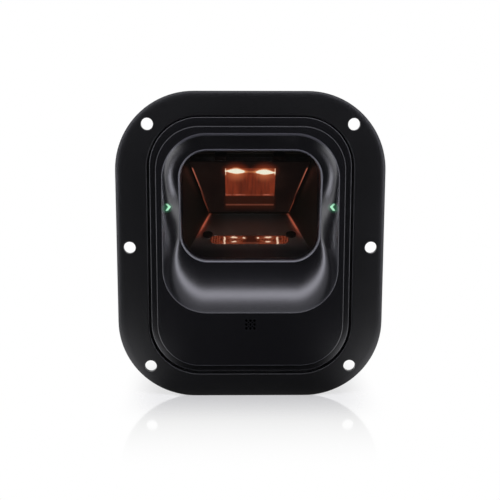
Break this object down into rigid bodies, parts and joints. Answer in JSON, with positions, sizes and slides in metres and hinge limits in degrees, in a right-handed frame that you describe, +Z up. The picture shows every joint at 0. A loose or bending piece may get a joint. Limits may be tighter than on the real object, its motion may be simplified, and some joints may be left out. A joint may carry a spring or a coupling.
{
  "type": "panel-mount barcode scanner",
  "caption": "Panel-mount presentation scanner: rounded bolt-on flange, scooped bezel round a window, folded optics with lamps inside, tapered rear housing with cable socket and push button.",
  "frame": {"origin": "centre of the flange's corner hole pattern, on the flange's front face", "axes": "+Z up and +X right as seen from the front, +Y into the device"},
  "size_m": [0.1334, 0.0897, 0.1544],
  "materials": {
    "flange_coat": "fine matt powder coat on steel",
    "bezel_black": "satin moulded black",
    "housing_black": "fine spark-textured moulding",
    "button_grey": "matt dark grey",
    "seal_rubber": "matt black rubber",
    "window_clear": "clear coated pane",
    "chevron_green": "green light guide",
    "lamp_white": "lamp package",
    "lamp_clear": "clear moulded bar",
    "guide_amber": "smoked light guide, lit amber",
    "chamber_black": "dark moulded chamber",
    "mirror_silver": "front-silvered mirror",
    "lens_glass": "coated lens",
    "optic_black": "matt black",
    "board_green": "green solder mask",
    "chip_black": "moulded package",
    "socket_black": "moulded socket",
    "connector_cream": "moulded connector",
    "flex_amber": "polyimide film",
    "screw_steel": "zinc-plated steel",
    "brass_plain": "turned brass",
    "contact_gold": "gold-plated contacts"
  },
  "bodies": {
    "scanner": {"mounting_flange": "flange_coat", "front_bezel": "bezel_black", "rear_housing": "housing_black", "flange_gasket": "seal_rubber", "window_gasket": "seal_rubber", "housing_seal": "seal_rubber", "beeper_gasket": "seal_rubber", "window_pane": "window_clear", "chevron_lens_left": "chevron_green", "chevron_lens_right": "chevron_green", "illumination_leds": "lamp_white", "indicator_leds": "lamp_white", "light_bar_lens": "lamp_clear", "light_guide": "guide_amber", "optical_chamber": "chamber_black", "fold_mirror": "mirror_silver", "camera_lens": "lens_glass", "lens_holder": "optic_black", "lens_barrel": "optic_black", "beeper_case": "optic_black", "main_board": "board_green", "camera_board": "board_green", "illumination_board": "board_green", "indicator_board_left": "board_green", "indicator_board_right": "board_green", "processor_chip": "chip_black", "board_chips": "chip_black", "image_sensor": "chip_black", "tactile_switch": "chip_black", "cable_socket": "socket_black", "ribbon_sockets": "connector_cream", "camera_ribbon": "flex_amber", "flange_screws": "screw_steel", "chamber_screws": "screw_steel", "lamp_screws": "screw_steel", "camera_screws": "screw_steel", "board_screws": "screw_steel", "housing_screws": "screw_steel", "mirror_clips": "screw_steel", "housing_inserts": "brass_plain", "beeper_disc": "brass_plain", "socket_contacts": "contact_gold"},
    "volume_button": {"volume_button": "button_grey"}
  },
  "joints": [
    {"name": "button_press", "type": "slide", "parent": "scanner", "child": "volume_button", "axis": [0, -1, 0], "range_m": [0, 0.001], "stiffness_N_per_m": 1500, "springref_m": -0.0004}
  ]
}
